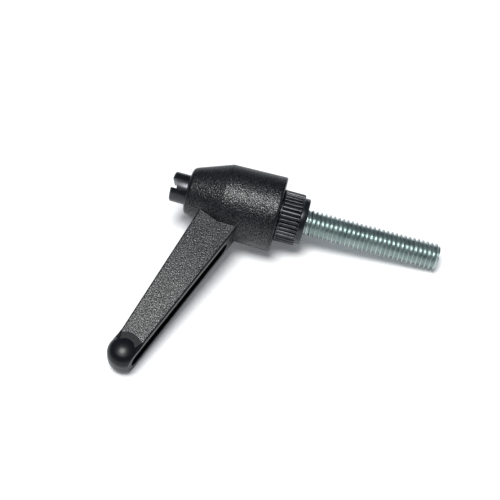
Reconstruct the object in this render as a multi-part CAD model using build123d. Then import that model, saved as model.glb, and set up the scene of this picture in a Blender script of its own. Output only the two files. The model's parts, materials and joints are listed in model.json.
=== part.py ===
from build123d import *
import os
from math import asin, atan2, cos, hypot, pi, radians, sin, sqrt, tan

# Adjustable clamping lever with a threaded stud, lying on a table as it comes to rest.
#
# Every piece is drawn in the lever's own frame: origin at the centre of the collar's seating face,
# Z up the stud's axis towards the narrow end of the hub, X along the arm in plan, Y across the arm.
# At the end all pieces are laid down by one location on the three points that touch the table.
# Lengths are in millimetres and angles in degrees.

# ---- threaded stud ----
THREAD_DIAMETER = 6.0
THREAD_PITCH = 1.0
STUD_LENGTH = 30.0  # below the seating face
STUD_GRIP = 6.5  # held inside the insert

# ---- toothed insert ----
SEAT_RING_DIAMETER = 10.2
SEAT_RING_HEIGHT = 1.0
SPLINE_DIAMETER = 11.5  # over the tooth crests
TOOTH_COUNT = 36
TOOTH_DEPTH = 0.45
TOOTH_END_CHAMFER = 0.15
OPEN_SPLINE_LENGTH = 4.5  # serrations that stay in view below the hub
BAND_DIAMETER = 11.7  # plain band that closes the hub's mouth
BAND_HEIGHT = 0.45
ENGAGEMENT = 3.4  # teeth in mesh inside the hub
BOSS_DIAMETER = 10.2
BOSS_HEIGHT = 2.6
INSERT_CHAMFER = 0.2

# ---- handle: hub ----
HUB_DIAMETER = 16.9  # at its base
HUB_DRAFT = 1.4
HUB_BODY_HEIGHT = 12.3
HUB_CONE_HEIGHT = 8.4
HUB_CONE_ANGLE = 19.9
HUB_BASE_ROUND = 0.4
HUB_SHOULDER_ROUND = 0.3
HUB_NOSE_ROUND = 1.3
WEB_THICKNESS = 2.0

# ---- handle: arm and knob ----
LEVER_REACH = 44.6  # hub axis to the end of the knob
ARM_TILT = 16.3
ARM_AXIS_HEIGHT = 16.5  # where the arm's centre line meets the hub's axis
ARM_ROOT_HEIGHT = 9.95  # measured on the hub's axis
ARM_END_HEIGHT = 5.2  # measured at the knob's centre
ARM_THICKNESS = 6.4
ARM_EDGE_ROUND = 0.45
ARM_SIDE_WALL = 1.45
ARM_BACK_WALL = 1.5
CHANNEL_HUB_WALL = 1.2  # solid left between the channel and the hub's outline
CHANNEL_END_WALL = 2.2  # solid left between the channel and the end of the knob
KNOB_DIAMETER = 6.9
KNOB_THICKNESS = 7.4
KNOB_DOME_RADIUS = 4.6
KNOB_EDGE_ROUND = 2.6
KNOB_NECK_ROUND = 5.0  # hollow where the arm swells into the knob
KNOB_NECK_LENGTH = 4.5  # over which the arm's corners run out

# ---- retaining screw ----
HEAD_DIAMETER = 6.7
HEAD_PROUD = 3.65  # stands out of the hub's nose
HEAD_CHAMFER = 0.25
SHOULDER_DIAMETER = 4.4
SCREW_THREAD_DIAMETER = 4.0
SCREW_THREAD_LENGTH = 4.5
SLOT_WIDTH = 2.05
SLOT_DEPTH = 1.3
SLOT_TURN = 72.0  # from the plane of the arm

# ---- return spring ----
SPRING_WIRE = 0.6
WIRE_SIDES = 8  # round wire, drawn with this many flats
SPRING_COILS = 4
LIFT_TRAVEL = 4.0  # how far the handle lifts off the teeth
SPRING_SPARE = 1.1  # left before the coils bind

# ---- clearances ----
TOOTH_CLEARANCE = 0.1  # radial, between the two sets of teeth
TOOTH_END_CLEARANCE = 0.2
GUIDE_CLEARANCE = 0.05  # radial, boss and shoulder in their bores
HEAD_CLEARANCE = 0.15  # radial, head in the hub's nose
MOUTH_GAP = 0.15  # hub's base above the insert's band
THREAD_CLEARANCE = 0.02  # radial, plain shanks in their tapped holes
COUNTERSINK_CLEARANCE = 0.1  # radial, at the mouth of the stud's tapped hole
HOLE_END_CLEARANCE = 0.3
SPRING_SIDE_CLEARANCE = 0.2
SPRING_END_CLEARANCE = 0.01

# ---- stations along the axis, from the seating face up ----
band_bottom = SEAT_RING_HEIGHT + OPEN_SPLINE_LENGTH
band_top = band_bottom + BAND_HEIGHT
hub_base = band_top + MOUTH_GAP
spline_top = band_top + ENGAGEMENT
insert_top = spline_top + BOSS_HEIGHT
web_top = insert_top + WEB_THICKNESS
spring_length = SPRING_COILS * SPRING_WIRE + LIFT_TRAVEL + SPRING_SPARE
head_bottom = web_top + spring_length
hub_shoulder = hub_base + HUB_BODY_HEIGHT
nose_top = hub_shoulder + HUB_CONE_HEIGHT
head_top = nose_top + HEAD_PROUD

# ---- other sizes that follow ----
hub_radius = HUB_DIAMETER / 2
shoulder_radius = hub_radius - HUB_BODY_HEIGHT * tan(radians(HUB_DRAFT))
nose_radius = shoulder_radius - HUB_CONE_HEIGHT * tan(radians(HUB_CONE_ANGLE))
crest_radius = SPLINE_DIAMETER / 2
thread_depth = 0.6134 * THREAD_PITCH  # external ISO thread
held_diameter = THREAD_DIAMETER - 0.6495 * THREAD_PITCH  # pitch diameter, where both threads meet
knob_x = LEVER_REACH - KNOB_DIAMETER / 2
knob_z = ARM_AXIS_HEIGHT + knob_x * tan(radians(ARM_TILT))
knob_u = knob_x / cos(radians(ARM_TILT))  # along the arm's centre line
channel_width = ARM_THICKNESS - 2 * ARM_SIDE_WALL
spring_mean_diameter = SHOULDER_DIAMETER + 2 * SPRING_SIDE_CLEARANCE + SPRING_WIRE

# the arm's side view is drawn here: local X runs out along the arm, local Y across it in the view
arm_plane = Plane(
    origin=(0, 0, ARM_AXIS_HEIGHT),
    x_dir=(cos(radians(ARM_TILT)), 0, sin(radians(ARM_TILT))),
    z_dir=(0, -1, 0),
)


def turned(*points):
    """Solid of revolution about Z from (radius, height) corners."""
    return revolve(Plane.XZ * make_face(Polyline(*points, close=True)), Axis.Z)


def rod(diameter, bottom, top):
    """Plain cylinder on the Z axis between two heights."""
    return Pos(0, 0, bottom) * Cylinder(diameter / 2, top - bottom, align=(Align.CENTER, Align.CENTER, Align.MIN))


def ring_edges(solid, height):
    """Circular edges of a turned solid that lie at one height."""
    return [e for e in solid.edges().filter_by(GeomType.CIRCLE) if abs(e.center().Z - height) < 1e-3]


def along_arm(shape):
    """Distance of a shape's centre along the arm's centre line."""
    return arm_plane.to_local_coords(shape.center()).X


def outer_ring(solid, height):
    """The widest of those circular edges."""
    return max(ring_edges(solid, height), key=lambda e: e.radius)


def toothed_prism(crest, root, bottom, top):
    """Prism with TOOTH_COUNT teeth; a third of each pitch is crest and a sixth is root."""
    pitch = 2 * pi / TOOTH_COUNT
    corners = []
    for tooth in range(TOOTH_COUNT):
        for share, radius in ((-1 / 6, crest), (1 / 6, crest), (5 / 12, root), (7 / 12, root)):
            angle = (tooth + share) * pitch
            corners.append((radius * cos(angle), radius * sin(angle)))
    section = make_face(Polyline(*corners, close=True))
    return Pos(0, 0, bottom) * extrude(section, top - bottom)


def make_stud():
    """M6 stud at its crest diameter where it stands free and its pitch diameter where it is held."""
    radius = THREAD_DIAMETER / 2
    held = held_diameter / 2
    return turned(
        (0, -STUD_LENGTH),
        (radius - thread_depth, -STUD_LENGTH),
        (radius, thread_depth - STUD_LENGTH),
        (radius, 0),
        (held, radius - held),
        (held, STUD_GRIP),
        (0, STUD_GRIP),
    )


def make_insert():
    """Collar: seating ring, open serrations, plain band, meshing teeth and guide boss."""
    ring = SEAT_RING_DIAMETER / 2
    bevel = TOOTH_END_CHAMFER
    blank = turned(
        (0, 0),
        (ring - INSERT_CHAMFER, 0),
        (ring, INSERT_CHAMFER),
        (ring, SEAT_RING_HEIGHT),
        (crest_radius - bevel, SEAT_RING_HEIGHT),
        (crest_radius, SEAT_RING_HEIGHT + bevel),
        (crest_radius, spline_top - bevel),
        (crest_radius - bevel, spline_top),
        (BOSS_DIAMETER / 2, spline_top),
        (BOSS_DIAMETER / 2, insert_top - INSERT_CHAMFER),
        (BOSS_DIAMETER / 2 - INSERT_CHAMFER, insert_top),
        (0, insert_top),
    )
    ends = rod(BOSS_DIAMETER, spline_top, insert_top) + rod(SEAT_RING_DIAMETER, 0, SEAT_RING_HEIGHT)
    teeth = toothed_prism(crest_radius, crest_radius - TOOTH_DEPTH, SEAT_RING_HEIGHT, spline_top)
    insert = blank & (teeth + ends)
    insert += rod(BAND_DIAMETER, band_bottom, band_top)
    hole = held_diameter / 2 + THREAD_CLEARANCE
    mouth = THREAD_DIAMETER / 2 + COUNTERSINK_CLEARANCE
    insert -= rod(2 * hole, 0, STUD_GRIP + HOLE_END_CLEARANCE)
    insert -= turned((0, 0), (mouth, 0), (hole, mouth - hole), (0, mouth - hole))
    screw_hole_bottom = insert_top - SCREW_THREAD_LENGTH - HOLE_END_CLEARANCE
    insert -= rod(SCREW_THREAD_DIAMETER + 2 * THREAD_CLEARANCE, screw_hole_bottom, insert_top)
    return insert


def make_hub():
    """Drafted body with a cone to the nose, all its outer corners rounded."""
    hub = turned(
        (0, hub_base),
        (hub_radius, hub_base),
        (shoulder_radius, hub_shoulder),
        (nose_radius, nose_top),
        (0, nose_top),
    )
    hub = fillet(outer_ring(hub, nose_top), HUB_NOSE_ROUND)
    hub = fillet(outer_ring(hub, hub_shoulder), HUB_SHOULDER_ROUND)
    return fillet(outer_ring(hub, hub_base), HUB_BASE_ROUND)


def half_height(u):
    """Half the arm's height at a distance along its centre line."""
    return (ARM_ROOT_HEIGHT + (ARM_END_HEIGHT - ARM_ROOT_HEIGHT) * u / knob_u) / 2


def arm_outline():
    """Side view of the arm up to the knob's centre, swelling into the knob on its upper side."""
    reach = 2 * KNOB_DIAMETER
    taper = make_face(
        Polyline(
            (0, -half_height(0)),
            (knob_u, -half_height(knob_u)),
            (knob_u, half_height(knob_u)),
            (0, half_height(0)),
            close=True,
        )
    )
    outline = taper + Pos(knob_u, 0) * Circle(KNOB_DIAMETER / 2)
    neck = outline.vertices().filter_by(lambda v: v.Y > 0 and 1 < v.X < knob_u)
    outline = fillet(neck, KNOB_NECK_ROUND)
    keep = make_face(
        Polyline(
            (0, -half_height(0)),
            (knob_u, -half_height(knob_u)),
            (knob_u, reach),
            (0, reach),
            close=True,
        )
    )
    return outline & keep


def make_blade():
    """Flat tapering arm from inside the hub to the knob, its long edges rounded."""
    blade = extrude(arm_plane * arm_outline(), ARM_THICKNESS / 2, both=True)
    sides = blade.faces().filter_by(Plane.XZ)
    ends = (0, knob_u)
    long_edges = [e for e in sides.edges() if min(abs(along_arm(e) - u) for u in ends) > 0.1]
    blade = fillet(long_edges, ARM_EDGE_ROUND)
    corner = hypot(half_height(knob_u - KNOB_NECK_LENGTH), ARM_THICKNESS / 2)
    runout = turned(
        (0, 0),
        (ARM_ROOT_HEIGHT, 0),
        (ARM_ROOT_HEIGHT, knob_u - KNOB_NECK_LENGTH),
        (corner, knob_u - KNOB_NECK_LENGTH),
        (KNOB_DIAMETER / 2, knob_u),
        (0, knob_u),
    )
    lengthwise = Plane(arm_plane.origin, x_dir=(0, 1, 0), z_dir=arm_plane.x_dir)
    return blade & (lengthwise * runout)


def make_knob():
    """Domed drum across the end of the arm, flattened along the arm's underside."""
    radius = KNOB_DIAMETER / 2
    top = KNOB_THICKNESS / 2
    dome = Pos(0, 0, top - KNOB_DOME_RADIUS) * Sphere(KNOB_DOME_RADIUS)
    half = rod(KNOB_DIAMETER, 0, KNOB_THICKNESS) & dome
    rim = top - KNOB_DOME_RADIUS + sqrt(KNOB_DOME_RADIUS**2 - radius**2)
    half = fillet(outer_ring(half, rim), KNOB_EDGE_ROUND)
    knob = half + mirror(half, Plane.XY)
    knob = arm_plane * (Pos(knob_u, 0, 0) * knob)
    reach = 2 * KNOB_DIAMETER
    above = Polyline(
        (knob_u - reach, -half_height(knob_u - reach)),
        (knob_u + reach, -half_height(knob_u + reach)),
        (knob_u + reach, reach),
        (knob_u - reach, reach),
        close=True,
    )
    keep = extrude(arm_plane * make_face(above), KNOB_THICKNESS, both=True)
    return knob & keep


def make_channel():
    """Coring channel cut up from the arm's underside, with half-round ends."""
    start = (hub_radius + CHANNEL_HUB_WALL) / cos(radians(ARM_TILT))
    end = knob_u + KNOB_DIAMETER / 2 - CHANNEL_END_WALL
    deep = ARM_ROOT_HEIGHT
    side = make_face(
        Polyline(
            (start, -deep),
            (end, -deep),
            (end, half_height(end) - ARM_BACK_WALL),
            (start, half_height(start) - ARM_BACK_WALL),
            close=True,
        )
    )
    slab = extrude(arm_plane * side, channel_width / 2, both=True)
    length = end - start
    plan = Pos(start + length / 2, 0) * SlotOverall(length, channel_width)
    looking_up = Plane(arm_plane.origin, x_dir=arm_plane.x_dir, z_dir=arm_plane.y_dir)
    return slab & extrude(looking_up * plan, deep, both=True)


def make_handle():
    """Hub, arm and knob as one moulding, with its toothed mouth, web and bores."""
    handle = make_hub() + make_blade() + make_knob() - make_channel()
    mouth_top = spline_top + TOOTH_END_CLEARANCE
    crest = crest_radius + TOOTH_CLEARANCE
    handle -= toothed_prism(crest, crest - TOOTH_DEPTH, hub_base, mouth_top)
    handle -= rod(BOSS_DIAMETER + 2 * GUIDE_CLEARANCE, mouth_top, insert_top)
    handle -= rod(SHOULDER_DIAMETER + 2 * GUIDE_CLEARANCE, insert_top, web_top)
    handle -= rod(HEAD_DIAMETER + 2 * HEAD_CLEARANCE, web_top, nose_top)
    return handle


def make_screw():
    """Slotted shoulder screw whose head holds the spring down and stands out of the nose."""
    head = rod(HEAD_DIAMETER, head_bottom, head_top)
    head = chamfer(ring_edges(head, head_top), HEAD_CHAMFER)
    shank = rod(SHOULDER_DIAMETER, insert_top, head_bottom)
    thread = rod(SCREW_THREAD_DIAMETER, insert_top - SCREW_THREAD_LENGTH, insert_top)
    slot = Box(2 * HEAD_DIAMETER, SLOT_WIDTH, 2 * SLOT_DEPTH)
    return head + shank + thread - Pos(0, 0, head_top) * Rot(0, 0, SLOT_TURN) * slot


def make_spring():
    """Compression spring with plain ends, standing on the web under the screw's head."""
    rise = spring_length - 2 * SPRING_END_CLEARANCE - SPRING_WIRE
    path = Helix(rise / SPRING_COILS, rise, spring_mean_diameter / 2)
    section = RegularPolygon(SPRING_WIRE / 2, WIRE_SIDES)
    coil = sweep(Plane(origin=path @ 0, z_dir=path % 0) * section, path, is_frenet=True)
    return Pos(0, 0, web_top + SPRING_END_CLEARANCE + SPRING_WIRE / 2) * coil


def rest_location():
    """Lay the lever on its stud's tip, its hub's base edge and its knob."""
    tip = STUD_LENGTH - thread_depth  # full-width thread ends here
    along = hub_base + HUB_BASE_ROUND + tip
    across = hub_radius - HUB_BASE_ROUND - THREAD_DIAMETER / 2
    pitch = atan2(across, along) + asin(HUB_BASE_ROUND / hypot(along, across))
    floor = -tip * sin(pitch) - THREAD_DIAMETER / 2 * cos(pitch)
    dome_offset = KNOB_DOME_RADIUS - KNOB_THICKNESS / 2  # dome's centre, past the middle plane
    drop = knob_z * sin(pitch) - KNOB_DOME_RADIUS - floor
    roll = asin(drop / (cos(pitch) * hypot(knob_x, dome_offset))) + atan2(dome_offset, knob_x)
    arm_direction = (-sin(roll) * sin(pitch), -cos(roll), -sin(roll) * cos(pitch))
    axis_direction = (-cos(pitch), 0, sin(pitch))
    return Plane(origin=(0, 0, 0), x_dir=arm_direction, z_dir=axis_direction).location


pieces = {
    "handle": make_handle(),
    "toothed_insert": make_insert(),
    "threaded_stud": make_stud(),
    "retaining_screw": make_screw(),
    "return_spring": make_spring(),
}

os.makedirs("parts", exist_ok=True)
lay_down = rest_location()
for name, piece in pieces.items():
    export_step(lay_down * piece, f"parts/{name}.step")
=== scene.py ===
import json
import math

import bmesh
import bpy
import numpy as np
from mathutils import Matrix, Vector


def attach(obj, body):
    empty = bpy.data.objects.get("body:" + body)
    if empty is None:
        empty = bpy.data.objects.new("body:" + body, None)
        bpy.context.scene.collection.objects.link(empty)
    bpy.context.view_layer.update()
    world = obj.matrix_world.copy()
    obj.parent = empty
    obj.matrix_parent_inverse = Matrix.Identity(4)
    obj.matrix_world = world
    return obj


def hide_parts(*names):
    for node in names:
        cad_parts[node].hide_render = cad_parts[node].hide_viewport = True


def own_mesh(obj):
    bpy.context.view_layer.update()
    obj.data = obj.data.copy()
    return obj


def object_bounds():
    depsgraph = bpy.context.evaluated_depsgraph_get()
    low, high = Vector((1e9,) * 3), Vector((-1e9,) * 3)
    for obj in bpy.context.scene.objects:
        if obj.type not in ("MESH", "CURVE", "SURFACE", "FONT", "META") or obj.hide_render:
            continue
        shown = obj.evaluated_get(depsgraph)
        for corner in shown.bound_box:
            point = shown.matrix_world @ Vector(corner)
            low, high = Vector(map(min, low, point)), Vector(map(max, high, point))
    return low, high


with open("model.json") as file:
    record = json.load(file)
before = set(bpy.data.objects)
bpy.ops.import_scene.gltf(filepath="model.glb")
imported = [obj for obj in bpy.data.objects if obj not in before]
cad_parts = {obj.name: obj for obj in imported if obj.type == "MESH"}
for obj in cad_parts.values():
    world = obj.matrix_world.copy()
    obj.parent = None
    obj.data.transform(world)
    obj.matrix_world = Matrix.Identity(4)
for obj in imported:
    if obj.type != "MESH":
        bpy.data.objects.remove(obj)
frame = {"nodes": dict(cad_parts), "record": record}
cadBox = [list(corner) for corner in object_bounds()]
print("frame loaded:", sorted(frame["nodes"]))

mm = 0.001  # everything below is sized in millimetres and placed in metres


# the lever's own axes
# z runs up the stud's axis towards the slotted screw, x out along the arm, y across its flats,
# from the middle of the collar's seating face.
leverRecord = {m["name"]: m for m in frame["record"]["mounts"]}
axisUp = -np.array(leverRecord["stud"]["axis"])
axisUp /= np.linalg.norm(axisUp)
armOut = np.array(leverRecord["seating_face"]["pos_m"])
armOut -= axisUp * (armOut @ axisUp)
armOut /= np.linalg.norm(armOut)
leverAxes = np.stack([armOut, np.cross(axisUp, armOut), axisUp])  # one row for each axis
leverTurn = Matrix(leverAxes.tolist())  # turns a place in the row frame into the lever's axes


def placeInLever(points):
    # x, y, z in the lever's own millimetres to metres in the row frame
    return (np.asarray(points, float) @ leverAxes) * mm


def toLinear(code):
    # "#rrggbb" in sRGB to linear red, green, blue and alpha
    parts = np.array([int(code[i:i + 2], 16) / 255 for i in (1, 3, 5)])
    low, high = parts / 12.92, ((parts + 0.055) / 1.055) ** 2.4
    return (*np.where(parts <= 0.04045, low, high), 1.0)


def addNode(tree, kind, settings=None, links=None):
    # one shader node; settings are properties or input values, links are sockets that feed its inputs
    node = tree.nodes.new(kind)
    for key, value in (settings or {}).items():
        if isinstance(key, str) and hasattr(node, key):
            setattr(node, key, value)
        else:
            node.inputs[key].default_value = value
    for key, socket in (links or {}).items():
        tree.links.new(socket, node.inputs[key])
    return node


def newMaterial(name):
    material = bpy.data.materials.new(name)
    material.use_nodes = True
    material.node_tree.nodes.clear()
    return material, material.node_tree


def mixColours(tree, factor, first, second):
    # second over first by factor; each is a colour code or a socket
    node = addNode(tree, "ShaderNodeMix", {"data_type": "RGBA"}, {"Factor": factor})
    for slot, value in (("A", first), ("B", second)):
        if isinstance(value, str):
            node.inputs[slot].default_value = toLinear(value)
        else:
            tree.links.new(value, node.inputs[slot])
    return node.outputs["Result"]


def finishMaterial(tree, shader):
    addNode(tree, "ShaderNodeOutputMaterial", links={"Surface": shader.outputs[0]})


def gridFaces(rows, columns, shift=0):
    # quads of a grid whose columns close on themselves; shift rows are gained over each turn
    row, column = np.meshgrid(np.arange(rows - 1), np.arange(columns), indexing="ij")
    nextColumn = (column + 1) % columns
    gain = np.where(nextColumn == 0, shift, 0)
    quads = np.stack([
        row * columns + column,
        (row + gain) * columns + nextColumn,
        (row + gain + 1) * columns + nextColumn,
        (row + 1) * columns + column,
    ], axis=-1).reshape(-1, 4)
    return quads[quads.max(axis=1) < rows * columns]


def newPiece(name, points, faces):
    # a mesh object at the origin from points in the lever's millimetres
    mesh = bpy.data.meshes.new(name)
    mesh.from_pydata(placeInLever(points).tolist(), [], faces.tolist())
    piece = bpy.data.objects.new(name, mesh)
    bpy.context.scene.collection.objects.link(piece)
    return piece


def closeSurface(piece, merge=0.002):
    # joins the collapsed rows, fills the open rims and turns every face outwards
    work = bmesh.new()
    work.from_mesh(piece.data)
    bmesh.ops.remove_doubles(work, verts=work.verts, dist=merge * mm)
    bmesh.ops.dissolve_degenerate(work, edges=work.edges, dist=merge * mm)
    bmesh.ops.holes_fill(work, edges=[e for e in work.edges if e.is_boundary], sides=0)
    bmesh.ops.recalc_face_normals(work, faces=work.faces)
    work.to_mesh(piece.data)
    work.free()


def smoothUpTo(piece, degrees):
    # soft shading, with creases kept where faces meet at more than this angle
    piece.data.shade_smooth()
    piece.data.set_sharp_from_angle(angle=math.radians(degrees))


def applyModifiers(piece):
    graph = bpy.context.evaluated_depsgraph_get()
    finished = bpy.data.meshes.new_from_object(piece.evaluated_get(graph))
    piece.modifiers.clear()
    piece.data = finished


def turnedSurface(profile, columns):
    # r(angle, step) = profile radius, z = profile height: a profile carried once round the stud's axis
    profile = np.asarray(profile, float)
    angle = np.arange(columns) / columns * 2 * math.pi
    radius, height = profile[:, :1], profile[:, 1:]
    points = np.stack([radius * np.cos(angle), radius * np.sin(angle), height + 0 * angle], axis=-1)
    return points, angle


# threaded stud: M6 x 1, rolled thread, zinc plated
stud = dict(diameter=6.0, pitch=1.0, length=30.0, inside=0.35, runOut=1.5, columns=72, rowsPerPitch=16)


def makeThreadedStud(size):
    # r(angle, z) = crest - sqrt(3) * (distance from the crest's middle - pitch/16), no deeper than
    # 0.6134 pitch: flats of pitch/8 and 60 degree flanks; rows climb with the helix, one pitch a turn,
    # the tip has a 45 degree lead and the thread fades out just before the collar
    pitch, columns, perPitch = size["pitch"], size["columns"], size["rowsPerPitch"]
    low, high = -size["length"], size["inside"]
    crest, depth = size["diameter"] / 2, 0.6134 * pitch
    rows = (math.ceil((high - low) / pitch) + 3) * perPitch
    angle = np.arange(columns) / columns * 2 * math.pi
    turn = angle / (2 * math.pi)
    row = np.arange(rows)[:, None] / perPitch - 2
    height = np.clip(low + pitch * (row + turn), low, high)
    away = np.abs(((height - low) / pitch - turn) % 1.0 - 0.5) * pitch
    cut = math.sqrt(3) * (away - pitch / 16)
    rounding = 0.09 * pitch  # softens the crest's corners and the root
    cut = rounding * np.logaddexp(0, cut / rounding)
    cut = depth - rounding * np.logaddexp(0, (depth - cut) / rounding)
    fade = np.clip(-height / size["runOut"], 0, 1)
    fade = fade * fade * (3 - 2 * fade)
    radius = crest - cut * fade - 0.4 * depth * (1 - fade)
    radius = np.minimum(radius, crest - depth + (height - low))
    points = np.stack([radius * np.cos(angle), radius * np.sin(angle), height], axis=-1)
    piece = newPiece("stud_thread", points.reshape(-1, 3), gridFaces(rows, columns, shift=perPitch))
    closeSurface(piece)
    smoothUpTo(piece, 50)
    return piece


studThread = makeThreadedStud(stud)
print("stud:", len(studThread.data.polygons), "faces")


# toothed collar: turned steel, its teeth milled along it, blackened
collar = dict(ring=5.1, ringHeight=1.3, crest=5.75, toothDepth=0.45, teeth=36, openEnd=5.5, band=5.85,
              bandTop=5.95, teethEnd=9.35, boss=5.1, top=11.95, bevel=0.15, edge=0.06,
              studHole=2.7, studHoleEnd=6.8, mouth=3.1, screwHole=2.02, screwHoleEnd=7.15, perTooth=16)


def makeToothedCollar(size):
    # r(angle, step) = the smaller of the turned profile and the tooth wave
    # root + depth * tanh(1.1 * (1 + cos(teeth * angle))) / tanh(2.2), the wave only where teeth are cut
    c, e, b = size["crest"], size["edge"], size["bevel"]
    plain = [(0, size["studHoleEnd"]), (size["studHole"], size["studHoleEnd"]),
             (size["studHole"], size["mouth"] - size["studHole"]), (size["mouth"], 0),
             (size["ring"] - 0.2, 0), (size["ring"] - e, 0.2 - e), (size["ring"], 0.2 + e),
             (size["ring"], size["ringHeight"] - e), (size["ring"] + e, size["ringHeight"])]
    cut = [(c - b - e, size["ringHeight"]), (c - b, size["ringHeight"] + e),
           (c, size["ringHeight"] + b + e)]
    cut += [(c, z) for z in np.linspace(size["ringHeight"] + 0.4, size["openEnd"], 12)]
    band = [(c - 0.2, size["openEnd"]), (size["band"] - 2 * e, size["openEnd"]),
            (size["band"] - 0.5 * e, size["openEnd"] + e), (size["band"], size["openEnd"] + 2.5 * e),
            (size["band"], size["bandTop"] - 2.5 * e), (size["band"] - 0.5 * e, size["bandTop"] - e),
            (size["band"] - 2 * e, size["bandTop"]), (c - 0.2, size["bandTop"])]
    inner = [(c, size["bandTop"])] + [(c, z) for z in np.linspace(6.2, size["teethEnd"] - b - e, 6)]
    inner += [(c - b, size["teethEnd"] - e), (c - b - e, size["teethEnd"])]
    end = [(size["boss"], size["teethEnd"]), (size["boss"], size["top"] - 0.2),
           (size["boss"] - 0.2, size["top"]), (size["screwHole"], size["top"]),
           (size["screwHole"], size["screwHoleEnd"]), (0, size["screwHoleEnd"])]
    profile = np.array(plain + cut + band + inner + end)
    parts = ((plain, 0), (cut, 1), (band, 0), (inner, 1), (end, 0))
    toothed = np.concatenate([np.full(len(steps), mark) for steps, mark in parts])
    points, angle = turnedSurface(profile, size["teeth"] * size["perTooth"])
    wave = np.tanh(1.1 * (1 + np.cos(size["teeth"] * angle))) / np.tanh(2.2)
    tooth = c - size["toothDepth"] * (1 - wave)
    radius = np.where(toothed[:, None] == 1, np.minimum(profile[:, :1], tooth), profile[:, :1])
    points = np.stack([radius * np.cos(angle), radius * np.sin(angle), points[..., 2]], axis=-1)
    piece = newPiece("toothed_collar", points.reshape(-1, 3), gridFaces(*radius.shape))
    closeSurface(piece)
    smoothUpTo(piece, 40)
    return piece


toothedCollar = makeToothedCollar(collar)
print("collar:", len(toothedCollar.data.polygons), "faces")


# slotted screw: turned steel, blackened
screw = dict(head=3.35, headTop=30.45, headBottom=21.45, chamfer=0.25, shoulder=2.2, shoulderEnd=11.95,
             thread=2.0, threadEnd=7.45, slotWidth=2.05, slotDepth=1.3, slotTurn=72.0, edge=0.07)


def makeSlottedScrew(size):
    # a turned profile with a straight slot sawn across its head, then every sharp edge broken
    h, s, t, c = size["head"], size["shoulder"], size["thread"], size["chamfer"]
    profile = [(0, size["threadEnd"]), (t, size["threadEnd"]), (t, size["shoulderEnd"]),
               (s, size["shoulderEnd"]), (s, size["headBottom"]), (h, size["headBottom"]),
               (h, size["headTop"] - c), (h - c, size["headTop"]), (0, size["headTop"])]
    points, angle = turnedSurface(profile, 128)
    piece = newPiece("slotted_screw", points.reshape(-1, 3), gridFaces(len(profile), 128))
    closeSurface(piece)
    corner = np.array([(x, y, z) for x in (-1, 1) for y in (-1, 1) for z in (-1, 1)], float)
    corner *= (2 * h, size["slotWidth"] / 2, size["slotDepth"])
    turn = math.radians(size["slotTurn"])
    cosTurn, sinTurn = math.cos(turn), math.sin(turn)
    across = np.array([(cosTurn, sinTurn, 0), (-sinTurn, cosTurn, 0), (0, 0, 1)])
    sides = np.array([(0, 1, 3, 2), (4, 6, 7, 5), (0, 4, 5, 1), (2, 3, 7, 6), (0, 2, 6, 4), (1, 5, 7, 3)])
    saw = newPiece("slot_saw", corner @ across + (0, 0, size["headTop"]), sides)
    closeSurface(saw)
    cut = piece.modifiers.new("slot", "BOOLEAN")
    cut.operation, cut.solver, cut.object = "DIFFERENCE", "EXACT", saw
    broken = piece.modifiers.new("edges", "BEVEL")
    broken.width, broken.segments, broken.angle_limit = size["edge"] * mm, 2, math.radians(35)
    applyModifiers(piece)
    bpy.data.objects.remove(saw)
    smoothUpTo(piece, 32)
    return piece


slottedScrew = makeSlottedScrew(screw)
print("screw:", len(slottedScrew.data.polygons), "faces")


# return spring: drawn wire, ends closed and ground
spring = dict(wire=0.6, meanRadius=2.7, foot=13.96, length=7.48, turns=5.5, closedTurns=0.9, travel=4.0)


def makeReturnSpring(size):
    # a round wire carried along (R cos t, R sin t, h(t)); h climbs by one wire a turn in the closed ends
    # and evenly between them, and its first and last faces are ground flat
    wire, turns = size["wire"] / 2, size["turns"]
    t = np.linspace(0, turns, int(turns * 48) + 1)
    share = np.clip((np.minimum(t, turns - t) - size["closedTurns"]) / 0.5, 0, 1)
    share = share * share * (3 - 2 * share)
    closed = size["wire"] * 0.9
    steps = np.diff(t)
    middle = (share[1:] + share[:-1]) / 2
    rise = size["length"] - 1.2 * wire - closed * turns
    climb = steps * closed + rise * steps * middle / np.sum(steps * middle)
    height = 0.6 * wire + np.concatenate([[0], np.cumsum(climb)])
    slope = np.gradient(height, t * 2 * math.pi * size["meanRadius"])
    around = np.arange(16)[None, :] / 16 * 2 * math.pi
    angle = t[:, None] * 2 * math.pi
    out, up = wire * np.cos(around), wire * np.sin(around)
    tangent = -up * slope[:, None]  # leans the wire's round section with the helix
    radius = size["meanRadius"] + out
    x = radius * np.cos(angle) - tangent * np.sin(angle)
    y = radius * np.sin(angle) + tangent * np.cos(angle)
    z = np.clip(height[:, None] + up, 0, size["length"]) + size["foot"]
    points = np.stack([x, y, z], axis=-1)
    piece = newPiece("coil_spring", points.reshape(-1, 3), gridFaces(len(t), 16))
    closeSurface(piece)
    smoothUpTo(piece, 50)
    return piece


coilSpring = makeReturnSpring(spring)
print("spring:", len(coilSpring.data.polygons), "faces")


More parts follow.
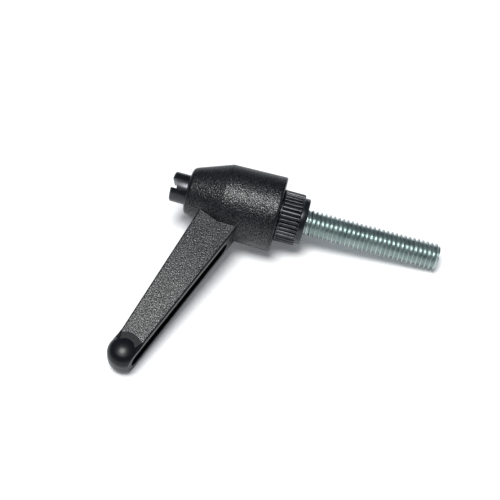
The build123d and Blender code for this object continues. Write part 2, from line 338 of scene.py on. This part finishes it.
# materials
# the arm's pit and peak colours are a lighter, lit copy of the black nylon: painted sheen for the lamp's
# light on the arm's flats
nylon = dict(grainSize=0.34, grainDepth=0.06, pit="#08090a", hubPeak="#16181b", armPaintedLightPit="#1b1c1d",
             armPaintedLightPeak="#8b8987",
             # the polished colour's blue tint is a painted reflection of the sky
             polished="#05080d", grainRoughness=0.36, polishedRoughness=0.36,
             # the first three numbers on the next line fade in the arm's painted sheen, from near the hub to
             # the arm's end
             paintedSheenFrom=12.0, paintedSheenTo=30.0, paintedSheenLeast=0.36, ior=1.53,
             hubBase=8.45, hubBottom=6.1, hubShoulder=18.4, hubTop=26.8, shoulderRadius=8.15, coneAngle=19.9,
             baseRound=0.45, noseRound=0.95, flat=3.2, edgeRound=0.05, knobX=41.15, knobZ=28.53,
             knobRadius=3.5, seamWidth=0.07, seamDepth=0.4, toneFrom=0.05, toneTo=0.6, sparkleFrom=0.46,
             # the sparkle share sets how much of the arm's grain colour is painted glints
             sparkleTo=0.62, paintedGlintShare=0.6, grainGloss=0.2, sparkleGloss=1.1, polishedGloss=0.35)


def nylonMaterial(size):
    # glass-filled nylon, injection moulded in a spark-eroded cavity: black, with a fine pebble grain
    # that catches light as grey specks; on the arm those specks are painted glints and its grain is painted
    # lighter as a sheen; its edges, nose and knob come off polished steel and are glossy
    material, tree = newMaterial("mouldedGlassFilledNylon")

    def calc(operation, first, second=0.0, third=0.0):
        node = addNode(tree, "ShaderNodeMath", {"operation": operation})
        for slot, value in enumerate((first, second, third)):
            if isinstance(value, (int, float)):
                node.inputs[slot].default_value = value
            else:
                tree.links.new(value, node.inputs[slot])
        return node.outputs[0]

    def rise(value, start, end):
        # 0 below start, 1 above end, smooth between
        settings = {"interpolation_type": "SMOOTHSTEP", "From Min": start, "From Max": end}
        return addNode(tree, "ShaderNodeMapRange", settings, {"Value": value}).outputs[0]

    place = addNode(tree, "ShaderNodeTexCoord").outputs["Object"]
    millimetres = {"Rotation": leverTurn.to_euler(), "Scale": (1 / mm,) * 3}
    inLever = addNode(tree, "ShaderNodeMapping", millimetres, {"Vector": place}).outputs[0]
    axes = addNode(tree, "ShaderNodeSeparateXYZ", links={0: inLever}).outputs
    x, z = axes["X"], axes["Z"]
    side = calc("ABSOLUTE", axes["Y"])
    outward = calc("SQRT", calc("ADD", calc("MULTIPLY", x, x), calc("MULTIPLY", side, side)))
    body = calc("MULTIPLY_ADD", calc("SUBTRACT", z, size["hubBottom"]),
                -(size["hubBase"] - size["shoulderRadius"]) / (size["hubShoulder"] - size["hubBottom"]),
                size["hubBase"])
    cone = calc("MULTIPLY_ADD", calc("SUBTRACT", z, size["hubShoulder"]),
                -math.tan(math.radians(size["coneAngle"])), size["shoulderRadius"])
    onArm = rise(calc("SUBTRACT", outward, calc("MINIMUM", body, cone)), 0.02, 0.06)
    hubGrain = calc("MULTIPLY", rise(z, size["hubBottom"] + size["baseRound"], size["hubBottom"] + 0.6),
                    calc("SUBTRACT", 1.0, rise(z, size["hubTop"] - size["noseRound"], size["hubTop"] - 0.7)))
    alongKnob = calc("ABSOLUTE", calc("SUBTRACT", x, size["knobX"]))
    aboveKnob = calc("ABSOLUTE", calc("SUBTRACT", z, size["knobZ"]))
    fromKnob = calc("SQRT", calc("ADD", calc("POWER", alongKnob, 2.0), calc("POWER", aboveKnob, 2.0)))
    armGrain = calc("MULTIPLY", rise(side, size["flat"] - size["edgeRound"], size["flat"] - 0.01),
                    rise(fromKnob, size["knobRadius"], size["knobRadius"] + 0.15))
    grained = calc("ADD", calc("MULTIPLY", onArm, armGrain),
                   calc("MULTIPLY", calc("SUBTRACT", 1.0, onArm), hubGrain))

    fine = addNode(tree, "ShaderNodeTexNoise", {"Scale": 1 / size["grainSize"], "Detail": 3.0,
                   "Roughness": 0.65}, {"Vector": inLever}).outputs["Fac"]
    pebbles = addNode(tree, "ShaderNodeTexVoronoi", {"feature": "SMOOTH_F1", "Scale": 1 / size["grainSize"],
                      "Smoothness": 0.35}, {"Vector": inLever}).outputs["Distance"]
    flecks = addNode(tree, "ShaderNodeTexNoise", {"Scale": 1.9 / size["grainSize"], "Detail": 1.0},
                     {"Vector": inLever}).outputs["Fac"]
    height = calc("SUBTRACT", calc("MULTIPLY", fine, 1.3), pebbles)
    tone = rise(height, size["toneFrom"], size["toneTo"])
    # painted sheen: the arm's colour grows lighter from the hub out towards the knob, standing in for lamp
    # light on its flats
    paintedSheen = calc("MULTIPLY_ADD", rise(x, size["paintedSheenFrom"], size["paintedSheenTo"]), 1 - size["paintedSheenLeast"],
                size["paintedSheenLeast"])
    sparkle = rise(flecks, size["sparkleFrom"], size["sparkleTo"])

    hubColour = mixColours(tree, tone, size["pit"], size["hubPeak"])
    # the arm's colour mixes the grain's tone with the sparkle flecks, which are painted glints
    share = size["paintedGlintShare"]
    grainAndPaintedGlints = calc("MULTIPLY_ADD", sparkle, share, calc("MULTIPLY", tone, 1 - share))
    lit = calc("MULTIPLY", grainAndPaintedGlints, paintedSheen)
    # the arm's grain takes the lighter colours: painted sheen, a lit copy of the hub's black nylon
    armPaintedLightColour = mixColours(tree, lit, size["armPaintedLightPit"], size["armPaintedLightPeak"])
    grainColour = mixColours(tree, onArm, hubColour, armPaintedLightColour)
    # polished areas take a near black whose blue tint is a painted sky reflection
    colour = mixColours(tree, grained, size["polished"], grainColour)
    grainLevel = calc("MULTIPLY_ADD", sparkle, size["sparkleGloss"], size["grainGloss"])
    polishedLevel = calc("MULTIPLY", calc("SUBTRACT", 1.0, grained), size["polishedGloss"])
    level = calc("ADD", calc("MULTIPLY", grained, grainLevel), polishedLevel)
    roughness = calc("MULTIPLY_ADD", grained, size["grainRoughness"] - size["polishedRoughness"],
                     calc("MULTIPLY_ADD", fine, 0.1, size["polishedRoughness"] - 0.05))
    seam = calc("MULTIPLY", calc("SUBTRACT", 1.0, rise(side, 0.02, size["seamWidth"])), size["seamDepth"])
    relief = calc("ADD", calc("MULTIPLY", grained, height), seam)
    bump = addNode(tree, "ShaderNodeBump", {"Strength": 1.0, "Distance": size["grainDepth"] * mm},
                   {"Height": relief})
    shader = addNode(tree, "ShaderNodeBsdfPrincipled", {"IOR": size["ior"]},
                     {"Base Color": colour, "Roughness": roughness, "Specular IOR Level": level,
                      "Normal": bump.outputs[0]})
    finishMaterial(tree, shader)
    return material


metals = dict(
    # a near black skin that only glints at its edges
    blackOxide=dict(light="#5a5c5e", dark="#2a2b2d", rough=0.3, spread=0.08, blotch=1.6, grit=0.12,
                    depth=0.004),
    # a cool, slightly green silver with a soft line of light
    zincPlate=dict(light="#cbd6d3", dark="#98a8a6", rough=0.34, spread=0.1, blotch=2.5, grit=0.15,
                   depth=0.003),
    # bare drawn wire, a warmer grey
    springWire=dict(light="#8d8c88", dark="#5d5c59", rough=0.3, spread=0.08, blotch=1.2, grit=0.1,
                    depth=0.002),
)


def metalMaterial(name, size):
    # the finish lies in soft blotches of a darker and a lighter tone over metal with a fine turned grit
    material, tree = newMaterial(name)
    place = addNode(tree, "ShaderNodeTexCoord").outputs["Object"]
    blotch = addNode(tree, "ShaderNodeTexNoise", {"Scale": 1 / (size["blotch"] * mm), "Detail": 4.0},
                     {"Vector": place}).outputs["Fac"]
    grit = addNode(tree, "ShaderNodeTexNoise", {"Scale": 1 / (size["grit"] * mm), "Detail": 2.0},
                   {"Vector": place}).outputs["Fac"]
    colour = mixColours(tree, blotch, size["dark"], size["light"])
    rough = addNode(tree, "ShaderNodeMapRange", {"To Min": size["rough"] - size["spread"],
                    "To Max": size["rough"] + size["spread"]}, {"Value": blotch})
    bump = addNode(tree, "ShaderNodeBump", {"Strength": 1.0, "Distance": size["depth"] * mm},
                   {"Height": grit})
    shader = addNode(tree, "ShaderNodeBsdfPrincipled", {"Metallic": 1.0}, {
        "Base Color": colour, "Roughness": rough.outputs[0], "Normal": bump.outputs[0]})
    finishMaterial(tree, shader)
    return material


def dress(piece, material):
    piece.data.materials.clear()
    piece.data.materials.append(material)


blackOxideSteel = metalMaterial("blackOxideSteel", metals["blackOxide"])
brightZincPlate = metalMaterial("brightZincPlate", metals["zincPlate"])
drawnSpringWire = metalMaterial("drawnSpringWire", metals["springWire"])
dress(frame["nodes"]["handle"], nylonMaterial(nylon))
for piece, node, material, slotName, body in (
    (toothedCollar, "toothed_insert", blackOxideSteel, "black_oxide_steel", "spindle"),
    (slottedScrew, "retaining_screw", blackOxideSteel, "black_oxide_steel", "spindle"),
    (studThread, "threaded_stud", brightZincPlate, "zinc_plated_steel", "spindle"),
    (coilSpring, "return_spring", drawnSpringWire, "spring_steel", "spring"),
):
    dress(piece, material)
    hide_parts(node)
    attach(piece, body)
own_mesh(coilSpring)
print("materials on")


# floor, light and camera
studio = dict(floorSize=0.6, floorColour="#ececec", lampSize=0.42, lampDistance=1.0, lampPower=9.4,
              lampAzimuth=-8.6, lampElevation=74.0, worldColour="#d3e2f6", worldStrength=0.2,
              floorGlow=0.12, seenColour="#ffffff")
view = dict(azimuth=12.76, elevation=48.73, distance=215.7, target=(-10.12, -10.71, 0.0), lens=72.14)


def fromAngles(azimuth, elevation, distance, target):
    # azimuth 0 stands at -Y and looks along +Y
    a, e = math.radians(azimuth), math.radians(elevation)
    direction = Vector((math.sin(a) * math.cos(e), -math.cos(a) * math.cos(e), math.sin(e)))
    return Vector(target) + direction * distance


def aimedAt(place, target, data, name):
    holder = bpy.data.objects.new(name, data)
    bpy.context.scene.collection.objects.link(holder)
    holder.location = place
    holder.rotation_euler = (Vector(target) - Vector(place)).to_track_quat("-Z", "Y").to_euler()
    return holder


def makeFloor(size):
    # pale board under the lever; the camera and gloss see it white, what it throws back is a little less
    low, half = cadBox[0][2], size["floorSize"] / 2
    corners = [(-half, -half, low), (half, -half, low), (half, half, low), (-half, half, low)]
    mesh = bpy.data.meshes.new("floor")
    mesh.from_pydata(corners, [], [(0, 1, 2, 3)])
    floor = bpy.data.objects.new("floor", mesh)
    bpy.context.scene.collection.objects.link(floor)
    material, tree = newMaterial("paleFloor")
    rays = addNode(tree, "ShaderNodeLightPath").outputs
    seen = addNode(tree, "ShaderNodeMath", {"operation": "MAXIMUM"},
                   {0: rays["Is Camera Ray"], 1: rays["Is Glossy Ray"]})
    seen = addNode(tree, "ShaderNodeMath", {"operation": "MAXIMUM"},
                   {0: seen.outputs[0], 1: rays["Is Transmission Ray"]})
    colour = mixColours(tree, seen.outputs[0], size["floorColour"], size["seenColour"])
    board = addNode(tree, "ShaderNodeBsdfDiffuse", links={"Color": colour})
    glow = addNode(tree, "ShaderNodeMath", {"operation": "MULTIPLY", 1: size["floorGlow"]},
                   {0: rays["Is Camera Ray"]})
    lift = addNode(tree, "ShaderNodeEmission", links={"Strength": glow.outputs[0]})
    both = addNode(tree, "ShaderNodeAddShader", links={0: board.outputs[0], 1: lift.outputs[0]})
    finishMaterial(tree, both)
    dress(floor, material)


def makeLight(size):
    # one round softbox high over the front, and a dim sky that fills the shadows
    lamp = bpy.data.lights.new("softbox", "AREA")
    lamp.shape = "DISK"
    lamp.size = size["lampSize"]
    lamp.energy = size["lampPower"]
    place = fromAngles(size["lampAzimuth"], size["lampElevation"], size["lampDistance"], (0, 0, 0))
    aimedAt(place, (0, 0, 0), lamp, "softbox")
    world = bpy.data.worlds.new("studioWorld")
    bpy.context.scene.world = world
    world.use_nodes = True
    tree = world.node_tree
    tree.nodes.clear()
    rays = addNode(tree, "ShaderNodeLightPath").outputs
    strength = addNode(tree, "ShaderNodeMapRange", {"To Min": size["worldStrength"], "To Max": 1.0},
                       {"Value": rays["Is Camera Ray"]})
    colour = mixColours(tree, rays["Is Camera Ray"], size["worldColour"], size["seenColour"])
    back = addNode(tree, "ShaderNodeBackground",
                   links={"Color": colour, "Strength": strength.outputs[0]})
    addNode(tree, "ShaderNodeOutputWorld", links={"Surface": back.outputs[0]})


def makeCamera(size):
    camera = bpy.data.cameras.new("camera")
    camera.sensor_width = 36.0
    camera.lens = size["lens"]
    camera.clip_start = 0.01
    target = Vector(size["target"]) * mm
    place = fromAngles(size["azimuth"], size["elevation"], size["distance"] * mm, target)
    bpy.context.scene.camera = aimedAt(place, target, camera, "camera")


makeFloor(studio)
makeLight(studio)
makeCamera(view)
bpy.context.scene.view_settings.view_transform = "Standard"
print("studio ready")
